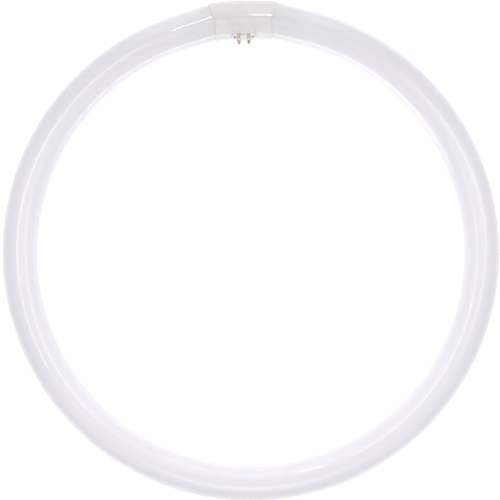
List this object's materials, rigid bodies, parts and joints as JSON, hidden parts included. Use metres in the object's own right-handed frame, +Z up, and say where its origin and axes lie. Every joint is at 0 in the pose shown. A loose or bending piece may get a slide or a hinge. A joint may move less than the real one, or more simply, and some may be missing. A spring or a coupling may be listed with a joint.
{
  "type": "circular fluorescent tube",
  "caption": "Ring-shaped fluorescent lamp: a bent white glass tube whose two ends meet in a moulded cap with canted brass pins.",
  "frame": {"origin": "centre of the ring, in the middle plane of the tube", "axes": "+Z up along the ring's axis, +Y from the ring's centre to the cap; the pins point towards -Y and up"},
  "size_m": [0.4064, 0.409, 0.0325],
  "materials": {
    "coated_glass": "gloss",
    "cap_plastic": "gloss",
    "pin_brass": "satin",
    "lead_metal": "satin"
  },
  "bodies": {
    "root": {"glass_tube": "coated_glass", "cap_outer_half": "cap_plastic", "cap_inner_half": "cap_plastic", "contact_pin_1": "pin_brass", "lead_wire_1": "lead_metal", "contact_pin_2": "pin_brass", "lead_wire_2": "lead_metal", "contact_pin_3": "pin_brass", "lead_wire_3": "lead_metal", "contact_pin_4": "pin_brass", "lead_wire_4": "lead_metal"}
  },
  "joints": []
}
